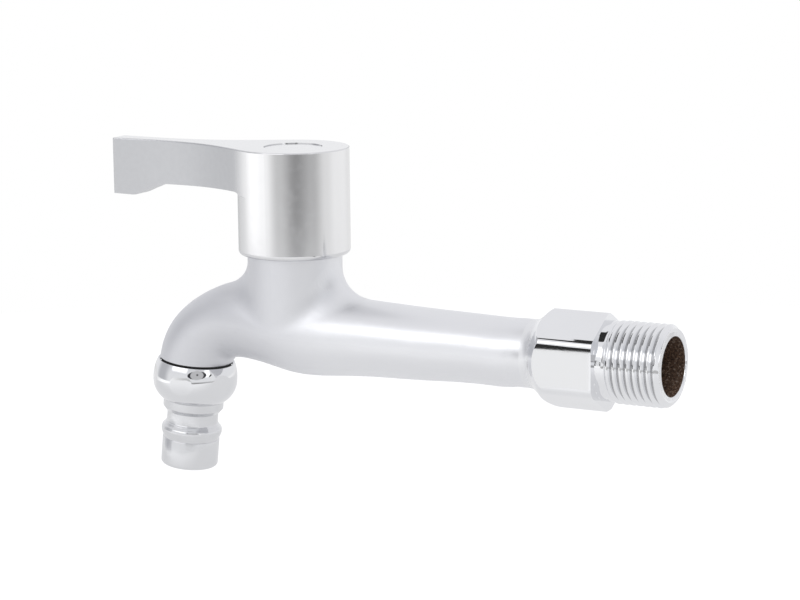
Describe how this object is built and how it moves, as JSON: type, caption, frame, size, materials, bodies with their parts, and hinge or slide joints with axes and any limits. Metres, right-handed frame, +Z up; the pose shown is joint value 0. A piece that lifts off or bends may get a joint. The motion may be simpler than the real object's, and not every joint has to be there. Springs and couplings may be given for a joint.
{
  "type": "tap",
  "caption": "Wall tap with a long threaded inlet arm, a quarter-turn lever valve and a curved spout ending in a union nut and a push-on hose nozzle.",
  "frame": {"origin": "on the inlet axis, in the face of the hexagon where the inlet thread starts", "axes": "+Y along the inlet thread into the wall, -Y into the room, +Z up along the valve axis, +X to the right of someone facing the wall"},
  "size_m": [0.0296, 0.1627, 0.0895],
  "materials": {
    "satin_chrome": "satin chrome plate on cast brass",
    "handle_chrome": "brushed and plated zinc",
    "bright_chrome": "bright chrome plate",
    "nozzle_chrome": "turned brass with chrome plate",
    "cap_chrome": "plated cap, smooth",
    "brass": "machined",
    "ceramic": "lapped alumina",
    "rubber": "moulded",
    "fibre": "fibre gasket",
    "plastic": "moulded acetal",
    "steel": "stainless"
  },
  "bodies": {
    "tap": {"body": "satin_chrome", "cartridge_gasket": "fibre", "cartridge_housing": "brass", "fixed_disc": "ceramic", "seat_seal": "rubber", "seal_support_ring": "plastic"},
    "lever": {"handle": "handle_chrome", "handle_cap": "cap_chrome", "handle_screw": "steel", "screw_washer": "steel", "spindle": "brass", "spindle_clip": "steel", "spindle_o_rings": "rubber", "slip_washer": "plastic", "moving_disc": "ceramic"},
    "nozzle": {"hose_nozzle": "nozzle_chrome", "nozzle_gasket": "rubber"},
    "union_nut": {"outlet_nut": "bright_chrome"}
  },
  "joints": [
    {"name": "handle_turn", "type": "hinge", "parent": "tap", "child": "lever", "pos_m": [0, -0.0905, 0], "axis": [0, 0, 1], "range_deg": [0, 90]},
    {"name": "nozzle_slide", "type": "slide", "parent": "tap", "child": "nozzle", "axis": [0, -0.1097, -0.994], "range_m": [0, 0.0045]},
    {"name": "nut_turn", "type": "hinge", "parent": "nozzle", "child": "union_nut", "pos_m": [0, -0.1221, -0.01068], "axis": [0, -0.1097, -0.994], "range_deg": [0, 1620]}
  ],
  "couplings": [
    {"joint": "nut_turn", "follows": "nozzle_slide", "rad_per_m": 6283.2}
  ]
}
